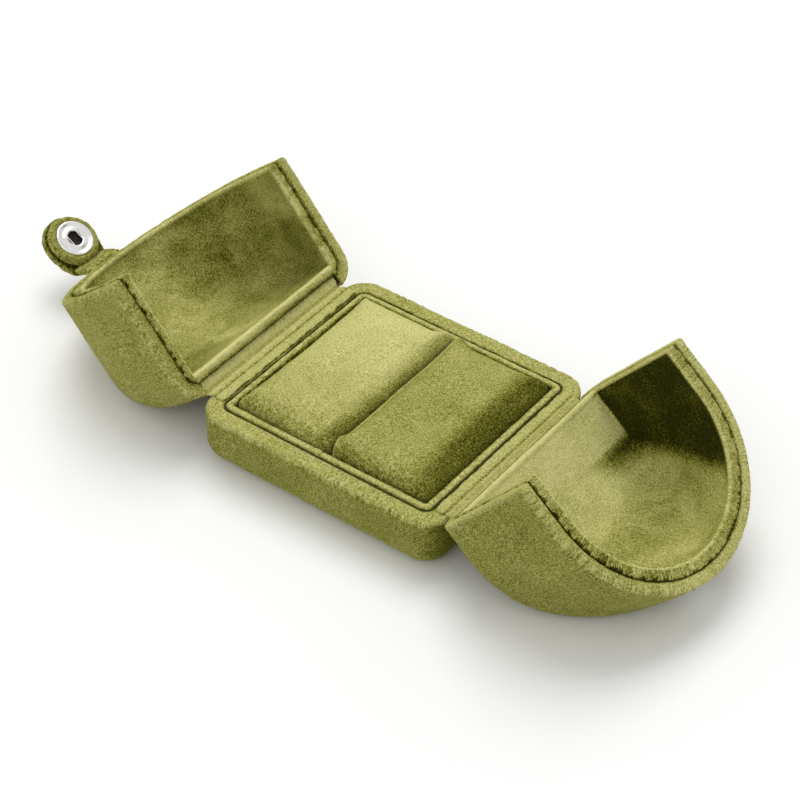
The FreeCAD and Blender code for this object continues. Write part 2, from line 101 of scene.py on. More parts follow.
# how the cloth lies on them
CELL = 0.3                # spacing of the grids that the cloth is meshed on
RIM_ROUND = 1.0           # outer corner of the base's and the covers' rims
FOOT_ROUND = 0.7          # a cover's lower corner
TURNED_ROUND = 0.45       # where the outer velvet is turned in
ROLL_ROUND = 0.7          # where the lining is rolled over the inner moulding
LINING_EDGE = 0.5         # the lining's corner at the seam
SEAM_AT_RIM = 3.0         # where the outer velvet ends on a cover's rim
ROLL_AT_RIM = 6.3         # how far in the lining's rolled edge reaches there
STRAND = 0.6              # width of a tuft of ruffled pile
COMB = 0.42               # width of the finer strands in it
CLOTH_SCALE = 10          # the pads are swelled ten times as large, the size that cloth is solved at
CLOTH_FRAMES = 20
PAD_DROP, PAD_SLACK = 0.7, 0.1     # how much lower and slimmer a pad is before it swells
PAD_SWELL = 0.9           # how far it swells at most
PAD_TOUCH = 0.25          # where a pad presses on the other, across the slot
PAD_ROUND = 3.4           # a pad's top edge
PAD_CORNER, PAD_FOOT = 1.2, 0.6    # rounds of a pad's upright corners and of its foot
POCKET_GRIP = 0.15        # how much of its sideways swelling the pocket leaves a pad
LIP_RETREAT = 0.3         # how much wider the gap round the lip is at its top
SEAM_OF_TAB, TAB_BACK = 2.9, 5.4   # where the tab's two layers meet, and its back
TAB_PUFF = 7.6            # radius of its back layer
STRAP_THICK_HALF = 0.95
ROOT_THICK, ROOT_START = 1.6, 26.2   # the strap where it is glued on the crown
JOIN_AT, JOIN_HALF = -1.2, 0.12    # where the ends of the lip's velvet meet, at the front
TAPE_THICK_HALF, TAPE_EDGE = 0.32, 0.3   # half the tape's thickness, and the round of its edges
VELVET_TONES = (
    (0.0, (0.02, 0.022, 0.0006)),
    (0.25, (0.118, 0.118, 0.009)),
    (0.5, (0.30, 0.296, 0.066)),
    (0.75, (0.51, 0.495, 0.165)),
    (1.0, (0.72, 0.69, 0.29)),
)

# the picture
PICTURE_WIDTH = 800
SENSOR = 36.0
FLOOR_HALF = 3.0          # metres


# ------------------------------------------------------------------------------- places
def cover_place(side):
    """From a closed cover's frame to the open box; side is 1 for the right cover, -1 for the left."""
    hinge = Vector((side * HALF_WIDTH, 0, HINGE_HEIGHT))
    turn = Matrix.Rotation(math.radians(side * OPEN_ANGLE), 4, "Y")
    return Matrix.Translation(hinge) @ turn @ Matrix.Diagonal((-side, 1, 1, 1))


def crown_height(u):
    """Height of the crown's ridge above the hinge line."""
    return SIDE_LEG + math.sqrt(SIDE_RADIUS**2 - (SIDE_RADIUS - u) ** 2)


LEFT, RIGHT = cover_place(-1), cover_place(1)
STUD_U = HALF_WIDTH - STUD_REACH
TILT = math.asin((SIDE_RADIUS - STUD_U) / SIDE_RADIUS)
BEND = Vector((HALF_WIDTH, 0, ARCH_LEG + HALF_DEPTH + BEND_RISE))
STUD = (
    RIGHT
    @ Matrix.Translation((STUD_U, 0, crown_height(STUD_U)))
    @ Matrix.Rotation(-TILT, 4, "Y")
)
STRAP = (
    LEFT
    @ Matrix.Translation(BEND)
    @ Matrix.Rotation(math.radians(-STRAP_FLOP), 4, "Y")
    @ Matrix.Translation((STUD_REACH, 0, crown_height(STUD_U) - BEND.z))
    @ Matrix.Rotation(TILT, 4, "Y")
)


# ------------------------------------------------------------------------------- fields
def rounded(a, b, radius, across=0.0):
    """Inside both fields, with a round along their edge; across is the cosine between their normals."""
    p, q = a + radius, b + radius
    at_edge = (p > q * across) & (q > p * across)
    arc = np.sqrt(np.maximum(p * p + q * q - 2 * p * q * across, 0) / (1 - across * across))
    return np.where(at_edge, arc - radius, np.maximum(a, b))


def melted(a, b, reach):
    """Inside either field, with a soft fillet between them."""
    near = np.clip(0.5 + 0.5 * (b - a) / reach, 0, 1)
    return b + (a - b) * near - reach * near * (1 - near)


def dome(u, y, v, inset, groin):
    """A cover's solid quarter: an end wall that rounds into the crown, crossed by an arch."""
    rise, climb = v - SIDE_LEG, v - ARCH_LEG
    from_side, from_arch = np.hypot(u - SIDE_RADIUS, rise), np.hypot(y, climb)
    side = np.where(rise < 0, -u, from_side - SIDE_RADIUS) + inset
    arch = np.where(climb < 0, abs(y) - HALF_DEPTH, from_arch - HALF_DEPTH) + inset
    steep = np.clip(rise / np.maximum(from_side, 1), 0, 1)
    upright = np.clip(climb / np.maximum(from_arch, 1), 0, 1)
    return rounded(side, arch, groin, np.clip(steep * upright, 0, 0.97))


def slab(x, y, half_x, half_y, corner):
    """A rounded rectangle seen from above."""
    over_x, over_y = abs(x) - half_x + corner, abs(y) - half_y + corner
    outside = np.hypot(np.maximum(over_x, 0), np.maximum(over_y, 0))
    return outside + np.minimum(np.maximum(over_x, over_y), 0) - corner


def path(x, z, points):
    """Distance to a chain of straight runs."""
    nearest = None
    for (x0, z0), (x1, z1) in itertools.pairwise(points):
        along_x, along_z = x1 - x0, z1 - z0
        share = ((x - x0) * along_x + (z - z0) * along_z) / (along_x**2 + along_z**2)
        share = np.clip(share, 0, 1)
        run = np.hypot(x - x0 - share * along_x, z - z0 - share * along_z)
        nearest = run if nearest is None else np.minimum(nearest, run)
    return nearest


def ramp(value, low, high):
    """Rises smoothly from 0 at low to 1 at high."""
    share = np.clip((value - low) / (high - low), 0, 1)
    return share * share * (3 - 2 * share)


def ridge(value, centre, width):
    return np.exp(-(((value - centre) / width) ** 2))


def lumps(points, size, seed):
    """Smooth noise from -1 to 1, with lumps of about this size."""
    table = np.random.default_rng(seed).uniform(-1, 1, 4096)
    grid = points / size
    corner = np.floor(grid).astype(np.int64)
    share = grid - corner
    share = share * share * (3 - 2 * share)
    total = np.zeros(len(points))
    for step in itertools.product((0, 1), repeat=3):
        at = corner + step
        row = (at[:, 0] * 73856093 ^ at[:, 1] * 19349663 ^ at[:, 2] * 83492791) & 4095
        total += table[row] * np.prod(np.where(step, share, 1 - share), axis=1)
    return total


# ------------------------------------------------------------------------------- meshes
def build(name, points, faces, place=Matrix()):
    """A mesh object from points in millimetres, in the frame that place gives."""
    mesh = bpy.data.meshes.new(name)
    mesh.from_pydata((np.asarray(points) * MM).tolist(), [], [tuple(face) for face in faces])
    moved = place.copy()
    moved.translation *= MM
    mesh.transform(moved)
    if moved.determinant() < 0:
        mesh.flip_normals()
    mesh.shade_smooth()
    piece = bpy.data.objects.new(name, mesh)
    bpy.context.scene.collection.objects.link(piece)
    return piece


def outward(points, quads):
    """A unit normal at each point."""
    a, b, c, d = (points[quads[:, i]] for i in range(4))
    across = np.cross(c - a, d - b)
    total = np.zeros_like(points)
    for i in range(4):
        np.add.at(total, quads[:, i], across)
    return total / np.maximum(np.linalg.norm(total, axis=1, keepdims=True), 1e-9)


def meshed(field, low, high, cell=CELL):
    """Points and quads of the surface where the field is zero, between two corners."""
    first = np.array(low, float) - 2 * cell
    counts = np.ceil((np.array(high, float) - first) / cell).astype(int) + 3
    axes = [start + cell * np.arange(n, dtype=np.float32) for start, n in zip(first, counts)]
    values = field(*np.meshgrid(*axes, indexing="ij", sparse=True))
    grid = openvdb.FloatGrid(cell)
    grid.copyFromArray(np.array(np.broadcast_to(values, counts), np.float32, order="C"))
    points, quads = grid.convertToQuads()
    return points.astype(float) * cell + first, quads.astype(int)


def strokes(along, across, seed):
    """Ruffled pile, from -1 to 1: short tufts that lie across an edge."""
    tufts = lumps(np.stack([along / STRAND, across / (2.5 * STRAND), 0 * along], 1), 1.0, seed)
    return 0.75 * tufts + 0.25 * lumps(np.stack([along, across, 0 * along], 1), 2.5, seed + 1)


def swell(points, quads, held, most):
    """Where a cloth cover goes when the foam in it pushes out, by up to about this many millimetres."""
    piece = build("swelling", points * CLOTH_SCALE, quads)
    group = piece.vertex_groups.new(name="held")
    for index in np.flatnonzero(held):
        group.add([int(index)], 1.0, "REPLACE")
    cloth = piece.modifiers.new("cloth", "CLOTH")
    cloth.settings.use_pressure = True
    cloth.settings.uniform_pressure_force = 4
    cloth.settings.vertex_group_mass = "held"
    cloth.settings.effector_weights.gravity = 0
    for moment in range(1, CLOTH_FRAMES + 1):
        bpy.context.scene.frame_set(moment)
    settled = piece.evaluated_get(bpy.context.evaluated_depsgraph_get())
    places = np.empty(len(points) * 3, np.float32)
    settled.data.vertices.foreach_get("co", places)
    shift = places.reshape(-1, 3).astype(float) / (MM * CLOTH_SCALE) - points
    shift[:, :2] *= POCKET_GRIP
    bpy.data.objects.remove(piece)
    bpy.context.scene.frame_set(1)
    distance = np.maximum(np.linalg.norm(shift, axis=1, keepdims=True), 1e-6)
    return points + shift * most * np.tanh(distance / most) / distance


def nothing(x, y, z, points):
    """For a piece without relief, lie of pile with painted light and shade, tufts or comb."""
    return np.zeros(len(points))


def velvet_piece(name, points, quads, place=Matrix(), relief=nothing, nap_and_painted_shading=nothing, tuft=nothing,
                 along=nothing, brush=0.1, seed=1):
    """Cloth on a surface: its pile ruffled by relief, and how the lie of its pile with painted light and shade,
    its tufts and brush marks show.

    The tufts are combed across the line that along measures, and brush is the same all over.
    """
    height = 0.05 * lumps(points, 1.5, seed) + 0.035 * lumps(points, 0.8, seed + 1)
    height = height + relief(*points.T, points)
    # the nap values paint light and shade into the colour, besides the pile's own lie
    looks = {"nap_and_painted_shading": nap_and_painted_shading(*points.T, points), "tuft": tuft(*points.T, points)}
    looks["brush"] = np.full(len(points), brush)
    lengths = along(*points.T, points)
    points = points + outward(points, quads) * height[:, None]
    piece = build(name, points, quads, place)
    looks = {look: np.clip(values, -1, 1) for look, values in looks.items()}
    looks["along"] = lengths
    for look, values in looks.items():
        attribute = piece.data.attributes.new(look, "FLOAT", "POINT")
        attribute.data.foreach_set("value", values.astype(np.float32))
    piece.data.materials.append(MATERIALS["velvet"])
    return piece


def lathe(name, profile, place, finish="nickel", segments=96):
    """A solid of revolution about the n axis, from (radius, n) points that start and end on it."""
    rings = profile[1:-1]
    angles = np.linspace(0, 2 * math.pi, segments, endpoint=False)
    points = [(r * math.cos(a), r * math.sin(a), n) for r, n in rings for a in angles]
    start, end = len(points), len(points) + 1
    points += [(0, 0, profile[0][1]), (0, 0, profile[-1][1])]
    last = start - segments
    faces = []
    for k in range(segments):
        after = (k + 1) % segments
        for row in range(0, last, segments):
            faces.append((row + k, row + after, row + segments + after, row + segments + k))
        faces += [(start, after, k), (end, last + k, last + after)]
    piece = build(name, points, faces, place)
    piece.data.materials.append(MATERIALS[finish])
    return piece


# ------------------------------------------------------------------------------- materials
def new_material(name):
    material = bpy.data.materials.new(name)
    material.use_nodes = True
    nodes = material.node_tree.nodes
    return material, nodes, material.node_tree.links, nodes["Principled BSDF"]


def noise(nodes, links, source, size, detail=2.0, stretch=(1, 1, 1), distortion=0.0):
    """Noise over the object, with lumps of about this size in millimetres."""
    mapping = nodes.new("ShaderNodeMapping")
    mapping.inputs["Scale"].default_value = stretch
    links.new(source.outputs["Object"], mapping.inputs["Vector"])
    texture = nodes.new("ShaderNodeTexNoise")
    texture.inputs["Scale"].default_value = 1 / (size * MM)
    texture.inputs["Detail"].default_value = detail
    texture.inputs["Distortion"].default_value = distortion
    links.new(mapping.outputs["Vector"], texture.inputs["Vector"])
    return texture.outputs["Fac"]


def weighed(nodes, links, start, *terms):
    """start plus each value less its middle, times its weight; a term is (value, weight, middle)."""
    total = None
    for value, weight, middle in terms:
        node = nodes.new("ShaderNodeMath")
        node.operation = "MULTIPLY_ADD"
        links.new(value, node.inputs[0])
        node.inputs[1].default_value = weight
        if total is None:
            node.inputs[2].default_value = start - weight * middle
            total = node.outputs[0]
            continue
        shift = nodes.new("ShaderNodeMath")
        shift.operation = "SUBTRACT"
        links.new(total, shift.inputs[0])
        shift.inputs[1].default_value = weight * middle
        links.new(shift.outputs[0], node.inputs[2])
        total = node.outputs[0]
    return total


def look(nodes, name):
    """One of the values that velvet_piece gives each point."""
    attribute = nodes.new("ShaderNodeAttribute")
    attribute.attribute_name = name
    return attribute.outputs["Fac"]


def times(nodes, links, value, factor):
    product = nodes.new("ShaderNodeMath")
    product.operation = "MULTIPLY"
    links.new(value, product.inputs[0])
    links.new(factor, product.inputs[1])
    return product.outputs[0]


def paint(nodes, links, shader, value, stops):
    """Colours a surface by a value, between (position, colour) stops from 0 to 1."""
    shades = nodes.new("ShaderNodeValToRGB")
    elements = shades.color_ramp.elements
    elements[0].color, elements[1].color = (*stops[0][1], 1), (*stops[-1][1], 1)
    for position, colour in stops[1:-1]:
        elements.new(position).color = (*colour, 1)
    links.new(value, shades.inputs["Fac"])
    links.new(shades.outputs["Color"], shader.inputs["Base Color"])


def emboss(nodes, links, shader, height, strength, depth):
    """Bumps as deep as depth millimetres."""
    bump = nodes.new("ShaderNodeBump")
    bump.inputs["Strength"].default_value = strength
    bump.inputs["Distance"].default_value = depth * MM
    links.new(height, bump.inputs["Height"])
    links.new(bump.outputs["Normal"], shader.inputs["Normal"])


def velvet():
    """Short olive pile: brushed marks, fine grain, light and shade painted in by each piece, and a sheen where it
    is seen edge on.
    """
    material, nodes, links, shader = new_material("velvet")
    source = nodes.new("ShaderNodeTexCoord")
    tuft, brush = look(nodes, "tuft"), look(nodes, "brush")
    smudge = weighed(nodes, links, 0, (noise(nodes, links, source, 9, 1.5, distortion=0.6), 1, 0.5))
    streak = weighed(nodes, links, 0, (noise(nodes, links, source, 4, 3, (1, 0.3, 1), 0.6), 1, 0.5))
    tangle = noise(nodes, links, source, 0.9, 2)
    clump = weighed(nodes, links, 0, (tangle, 1, 0.5))
    line = weighed(nodes, links, 0, (look(nodes, "along"), 1 / COMB, 0), (tangle, 3.0, 0.5))
    comb = nodes.new("ShaderNodeTexNoise")
    comb.noise_dimensions = "1D"
    comb.inputs["Scale"].default_value = 1.0
    links.new(line, comb.inputs["W"])
    strand = weighed(nodes, links, 0, (comb.outputs["Fac"], 1.2, 0.5), (clump, 0.8, 0))
    tufted = times(nodes, links, strand, tuft)
    mottle = noise(nodes, links, source, 1.6, 2)
    grain = noise(nodes, links, source, 0.38, 3)
    # the nap term paints light and shade into this tone, besides the pile's own lie
    tone = weighed(
        nodes, links, 0.5,
        (look(nodes, "nap_and_painted_shading"), 0.5, 0), (times(nodes, links, smudge, brush), 1.8, 0),
        (times(nodes, links, streak, brush), 0.9, 0), (tufted, 1.5, 0),
        (mottle, 0.15, 0.5), (grain, 1.3, 0.5),
    )
    paint(nodes, links, shader, tone, VELVET_TONES)
    height = weighed(nodes, links, 0.5, (grain, 1.0, 0.5), (mottle, 0.4, 0.5), (tufted, 1.1, 0))
    emboss(nodes, links, shader, height, 1.0, 0.3)
    shader.inputs["Roughness"].default_value = 0.95
    shader.inputs["Specular IOR Level"].default_value = 0.05
    shader.inputs["Sheen Weight"].default_value = 0.32
    shader.inputs["Sheen Roughness"].default_value = 0.35
    shader.inputs["Sheen Tint"].default_value = (0.66, 0.65, 0.20, 1)
    return material


def nickel():
    """Bright plate with fine scratches and faint smears."""
    material, nodes, links, shader = new_material("nickel")
    source = nodes.new("ShaderNodeTexCoord")
    smear = noise(nodes, links, source, 1.8, 3)
    scratch = noise(nodes, links, source, 0.5, 3, (1, 0.15, 1), 0.5)
    rough = weighed(nodes, links, 0.24, (smear, 0.25, 0.5), (scratch, 0.15, 0.5))
    links.new(rough, shader.inputs["Roughness"])
    paint(nodes, links, shader, smear, ((0, (0.52, 0.51, 0.49)), (1, (0.84, 0.83, 0.82))))
    emboss(nodes, links, shader, scratch, 0.25, 0.05)
    shader.inputs["Metallic"].default_value = 1.0
    return material


def plain(name, dark, light, size, roughness, stretch=(1, 1, 1)):
    """A matt stuff with a fine mottle, for what the velvet hides and for the painted shade in the snap's well."""
    material, nodes, links, shader = new_material(name)
    source = nodes.new("ShaderNodeTexCoord")
    spots = noise(nodes, links, source, size, 4, stretch)
    paint(nodes, links, shader, spots, ((0, dark), (1, light)))
    emboss(nodes, links, shader, spots, 0.3, 0.1)
    shader.inputs["Roughness"].default_value = roughness
    shader.inputs["Specular IOR Level"].default_value = 0.1
    return material


MATERIALS = {
    "velvet": velvet(),
    "nickel": nickel(),
    "moulding": plain("moulding", (0.05, 0.05, 0.012), (0.08, 0.08, 0.02), 1.0, 0.8),
    "board": plain("board", (0.24, 0.24, 0.10), (0.34, 0.34, 0.16), 0.6, 0.9, (1, 0.4, 1)),
    # painted shade: the dark inside the socket's well
    "painted_well_shade": plain("painted_well_shade", (0.012, 0.012, 0.010), (0.05, 0.04, 0.03), 0.7, 0.6),
    "foam": plain("foam", (0.55, 0.53, 0.40), (0.78, 0.76, 0.62), 0.5, 0.95),
}
for part in frame["record"]["subparts"]:
    node = frame["nodes"][part["node"]]
    slot = part["material_slot"]
    node.data.materials.clear()
    node.data.materials.append(MATERIALS["nickel" if slot == "snap_metal" else slot])


# ------------------------------------------------------------------------------- base
def make_base():
    """The base's velvet, with the pile open along its rim, turned in over the tray."""
    def outer(x, y):
        return slab(x, y, HALF_WIDTH, HALF_DEPTH, CORNER)

    def field(x, y, z):
        side = outer(x, y)
        wrap = rounded(rounded(side, z - RIM_TOP, RIM_ROUND), WRAP_LIFT - z, BASE_EDGE)
        room = np.maximum(side + BASE_RIM, FLOOR_TOP - z)
        wrap = rounded(wrap, -room, TURNED_ROUND)
        shell = np.maximum(side + PILE, z - RIM_TOP + PILE)
        shell = rounded(shell, WRAP_LIFT + PILE - z, BASE_EDGE - PILE)
        card = np.maximum(abs(x) - CARD_EDGE.x, abs(y) - CARD_EDGE.y)
        card = np.maximum(card, z - CARD_EDGE.z)
        return np.maximum(np.maximum(wrap, -shell), -card)

    def edge(x, y, z):
        """Along the rim's outer corner, front and back, where the pile opens."""
        sag = 0.4 * lumps(np.stack([x, y, y], 1), 7, 22)
        corner = np.hypot(z - RIM_TOP + 0.7 + sag, outer(x, y) + 0.4)
        return ridge(corner, 0, 0.9) * ramp(abs(y), HALF_DEPTH - 3, HALF_DEPTH - 1)

    def relief(x, y, z, points):
        ruffle = 0.30 * edge(x, y, z) * strokes(x, z, 21)
        return ruffle + 0.10 * lumps(points, 9, 24)

    def nap_and_painted_shading(x, y, z, points):
        # painted light on the rim's top, and the sides painted a little darker
        top = ramp(z, RIM_TOP - 1.3, RIM_TOP - 0.5)
        # painted shade: a dark seam in the gap between the rim and the lip
        seam = top * ramp(-outer(x, y), BASE_RIM - 0.45, BASE_RIM - 0.1)
        thin = 0.6 + 0.5 * lumps(points, 1.6, 27)
        shade = 0.28 * top - seam * thin - 0.06 * (1 - top)
        # painted shade on the side at the right end, and painted light towards the bottom edge
        right_side = ramp(x, HALF_WIDTH - 5, HALF_WIDTH) * (1 - top)
        shade = shade + 0.2 * ramp(-z, -4.5, -1.5) - 0.4 * right_side
        return shade + 0.45 * edge(x, y, z) * strokes(x, z, 21)

    def tuft(x, y, z, points):
        patches = ramp(lumps(points, 7, 25) + 0.03 * x, -0.4, 0.4)
        return 0.08 + 0.6 * edge(x, y, z) * patches

    def along(x, y, z, points):
        return x + 0.5 * z

    points, quads = meshed(field, (-HALF_WIDTH, -HALF_DEPTH, WRAP_LIFT), ABOVE)
    piece = velvet_piece(
        "base_wrap", points, quads, relief=relief, nap_and_painted_shading=nap_and_painted_shading, tuft=tuft, along=along, seed=11
    )
    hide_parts("base_velvet")
    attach(piece, "base")


def make_lip():
    """The lip round the pads: velvet over the liner's ring, its ends joined at the front."""
    outer_x, outer_y = HALF_WIDTH - BASE_RIM - LIP_GAP, HALF_DEPTH - BASE_RIM - LIP_GAP

    def ring(x, y):
        return slab(x, y, outer_x, outer_y, CORNER / 3)

    def field(x, y, z):
        across = ring(x, y)
        inner = rounded(-(across + LIP_WIDTH), z - HINGE_HEIGHT, 0.8)
        top = ramp(z, HINGE_HEIGHT - 1.8, HINGE_HEIGHT - 0.6)
        lip = rounded(across + LIP_RETREAT * top, inner, 0.6)
        moulding = np.maximum(-(across + FRAME_WALL), z - HINGE_HEIGHT + LIP_VELVET)
        join = np.maximum(abs(x - JOIN_AT + 0.15 * (z - HINGE_HEIGHT)) - JOIN_HALF, y)
        return np.maximum(np.maximum(np.maximum(lip, -moulding), FLOOR_TOP - z), -join)

    def relief(x, y, z, points):
        lap = 0.25 * ridge(x, JOIN_AT - 0.9, 0.9) * ramp(-y, outer_y - 3, outer_y - 2.5)
        return 0.06 * lumps(points, 1.1, 32) + 0.10 * lumps(points, 6, 33) + lap

    def nap_and_painted_shading(x, y, z, points):
        across = ring(x, y)
        # painted highlight along the lip's crest, and painted shade down its sides into the gaps
        crest = ridge(across, -0.45 * LIP_WIDTH, 0.7) * ramp(z, HINGE_HEIGHT - 1, HINGE_HEIGHT - 0.2)
        sides = ramp(-across, LIP_WIDTH - 0.6, LIP_WIDTH - 0.1) + ramp(across, -0.5, -0.1)
        return 0.55 * crest - sides * (0.6 + 0.5 * lumps(points, 1.6, 35))

    def tuft(x, y, z, points):
        return 0.1 + 0.1 * ramp(abs(x), outer_x - LIP_WIDTH - 0.5, outer_x - LIP_WIDTH)

    low, high = (-outer_x, -outer_y, FLOOR_TOP), (outer_x, outer_y, HINGE_HEIGHT)
    points, quads = meshed(field, low, high)
    piece = velvet_piece("liner_lip", points, quads, relief=relief, nap_and_painted_shading=nap_and_painted_shading, tuft=tuft, seed=31)
    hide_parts("liner_velvet")
    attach(piece, "base")


# ------------------------------------------------------------------------------- pads
def make_pad(side):
    """Foam in a velvet cover: swelled in its pocket, straight where the other pad presses on it."""
    low, high = Vector(PAD_LOW), Vector(PAD_HIGH)
    far, half_y = high.x - PAD_SLACK, high.y - PAD_SLACK
    slot_round = 1.0 if side > 0 else 2.0

    def plan(x, y):
        return slab(x - (PAD_TOUCH + far) / 2, y, (far - PAD_TOUCH) / 2, half_y, PAD_CORNER)

    def field(x, y, z):
        shoulder = slot_round + (PAD_ROUND - slot_round) * ramp(x, 2, 7)
        top = z - high.z + PAD_DROP
        return rounded(rounded(plan(x, y), top, shoulder), low.z - z, PAD_FOOT)

    def relief(x, y, z, points):
        pinch = ridge(x, 0.6, 1.6) * ridge(y, -half_y + 0.5, 1.8)
        lobe = ridge(x, 0.6, 1.5) * ridge(y, -half_y + 3.4, 1.6)
        fold = (lobe if side > 0 else -lobe) - pinch
        return 0.22 * lumps(points, 9, 41 + side) + 0.6 * fold * ramp(z, high.z - 5, high.z - 1)

    def nap_and_painted_shading(x, y, z, points):
        # painted shade where the pad rounds down at its edges
        slope = (1 - ramp(-plan(x, y), 0.6, 3.4)) * (1 - 0.5 * ridge(x, 0.5, 1.5))
        shade = 0.12 * lumps(points, 8, 48 + side)
        if side > 0:
            # painted shade on the right pad's outer side, and a painted highlight on its crest at the slot
            outside = ramp(x, high.x - 8.5, high.x - 2.5)
            slope = slope * (1 - outside)
            return shade + 0.14 - 0.3 * slope - 0.62 * outside + 0.4 * ridge(x, 0.9, 0.5)
        # the left pad painted lighter, most towards the back, with painted shade along the slot
        at_slot = (1 - ramp(x, 1.2, 4.0)) * (1 - 0.6 * ramp(-y, half_y - 6, half_y - 2))
        return shade + 0.38 + 0.34 * ramp(y, -18, 12) - 0.3 * slope - 0.5 * at_slot

    def tuft(x, y, z, points):
        return 0.04 + 0.14 * ramp(-y, half_y - 5, half_y - 2.5)

    points, quads = meshed(field, low, high, 2 * CELL)
    held = points[:, 2] < low.z + 1.5
    points = swell(points, quads, held, PAD_SWELL)
    points = np.clip(points, (0.1, -high.y, low.z), (high.x, high.y, high.z + 0.3))
    name = "right" if side > 0 else "left"
    piece = velvet_piece(
        f"{name}_pad", points, quads, Matrix.Diagonal((side, 1, 1, 1)),
        relief=relief, nap_and_painted_shading=nap_and_painted_shading, tuft=tuft, seed=45 + side,
    )
    smooth = piece.modifiers.new("smooth", "SUBSURF")
    smooth.levels = smooth.render_levels = 1
    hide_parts(f"{name}_pad_velvet", f"{name}_pad_foam")
    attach(piece, "base")


# ------------------------------------------------------------------------------- covers
def around(y, v):
    """Length round the arch from its front leg's top, for what runs along a cover's rim."""
    arc = HALF_DEPTH * np.arctan2(v - ARCH_LEG, -y)
    legs = np.where(y < 0, v - ARCH_LEG, HALF_DEPTH * math.pi + ARCH_LEG - v)
    return np.where(v > ARCH_LEG, arc, legs)


def by_rim(u, v):
    """Where a cover's rim is nearer than its foot."""
    return RIM - u < v - FOOT


def on_faces(u, v):
    """1 on the narrow faces along a cover's rim and foot."""
    return 1 - ramp(np.minimum(RIM - u, v - FOOT), 0.5, 1.2)


def seam_shift(u):
    """How far out the seam between a cover's outer velvet and its lining moves at the rim."""
    return (SHELL_BAND - SEAM_AT_RIM) * ramp(u, RIM - 1.1, RIM - 0.6)


def toward_front(y):
    """The pile lies more open at the box's front."""
    return 0.4 + 0.6 * ramp(-y, -8, 12)


def rim_edge(u, y, v, inset, reach):
    """1 along the corners where a cover's rim and foot meet the surface at this inset."""
    depth = dome(u, y, v, inset, CORNER)
    rim = np.hypot(RIM - u - 0.5, depth + 0.4)
    foot = np.hypot(v - FOOT - 0.5, depth + 0.4)
    return ridge(np.minimum(rim, foot), 0, reach)


def along_edge(u, y, v, points=None):
    """A coordinate along the nearer of the rim and the foot."""
    return np.where(by_rim(u, v), around(y, v), u)


def combed_rim(u, v):
    """How clearly the pile shows combed: fully along the rim, hardly along the foot."""
    return np.where(by_rim(u, v), 1, 0.15)


def open_pile(u, y, v, points, side, seed):
    """Tufts combed across the rim and, on the left cover, specks of open pile along the foot."""
    specks = lumps(points, 0.8, seed + 2) if side < 0 else 0 * u
    across = np.where(by_rim(u, v), u, v)
    tufts = strokes(along_edge(u, y, v), across, seed) * toward_front(y)
    return np.where(by_rim(u, v), tufts, specks)


COVER_HIGH = (RIM, HALF_DEPTH, ARCH_LEG + HALF_DEPTH)


def make_cover_wrap(side, name):
    """A cover's outer velvet, turned in over its rim and foot."""
    def field(u, y, v):
        outer = dome(u, y, v, 0, CORNER)
        wrap = rounded(rounded(outer, u - RIM, RIM_ROUND), FOOT - v, FOOT_ROUND)
        inside = dome(u, y, v, SHELL_BAND - seam_shift(u), CORNER - SHELL_BAND)
        wrap = rounded(wrap, -inside, TURNED_ROUND)
        shell = np.maximum(dome(u, y, v, PILE, CORNER - PILE), PILE - RIM + u)
        shell = np.maximum(shell, FOOT + PILE - v)
        step = np.maximum(np.maximum(u - STEP_DEPTH, abs(y) - STEP_HALF), v - STEP_HEIGHT)
        return np.maximum(np.maximum(wrap, -shell), -step)

    def relief(u, y, v, points):
        ruffle = rim_edge(u, y, v, 0, 1.2) * open_pile(u, y, v, points, side, 51)
        outside = ramp(dome(u, y, v, 0, CORNER), -0.9, -0.3)
        strength = 0.08 + 0.12 * ramp(-y, 0, 20)
        waves, pile = lumps(points, 10, 54), lumps(points, 0.9, 53)
        return strength * ruffle + 0.12 * outside * waves + 0.05 * pile

    def nap_and_painted_shading(u, y, v, points):
        # painted light along the corner of the rim and foot, more on the left cover
        edge = rim_edge(u, y, v, 0, 1.2)
        tufts = open_pile(u, y, v, points, side, 51)
        depth = -dome(u, y, v, 0, CORNER)
        faces = on_faces(u, v)
        # painted shade in the seam where the outer velvet meets the lining
        seam = faces * ramp(depth, SEAM_AT_RIM - 0.5, SEAM_AT_RIM - 0.1)
        seam = seam * (0.65 + 0.5 * lumps(points, 0.9, 50))
        # the right cover's walls painted a little darker than the left's, and the narrow faces painted lighter,
        # less at the front
        wall = 0.02 - 0.06 * side + 0.08 * lumps(points, 9, 58)
        band = 0.3 + 0.2 * side - 0.2 * ramp(-y, 10, 20)
        return wall + edge * (0.15 - 0.1 * side + 0.35 * tufts) + band * faces - 0.9 * seam

    def tuft(u, y, v, points):
        patches = 0.35 + 0.65 * ramp(lumps(points, 6, 59), -0.4, 0.5)
        combed = rim_edge(u, y, v, 0.4, 1.5) * combed_rim(u, v)
        return 0.08 + 0.45 * combed * patches * ramp(abs(y), 4, 14)

    points, quads = meshed(field, (0, -HALF_DEPTH, FOOT), COVER_HIGH)
    piece = velvet_piece(
        f"{name}_cover_wrap", points, quads, cover_place(side), relief=relief, nap_and_painted_shading=nap_and_painted_shading, tuft=tuft,
        along=along_edge, seed=55 + side,
    )
    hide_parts(f"{name}_cover_velvet")
    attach(piece, f"{name}_cover")


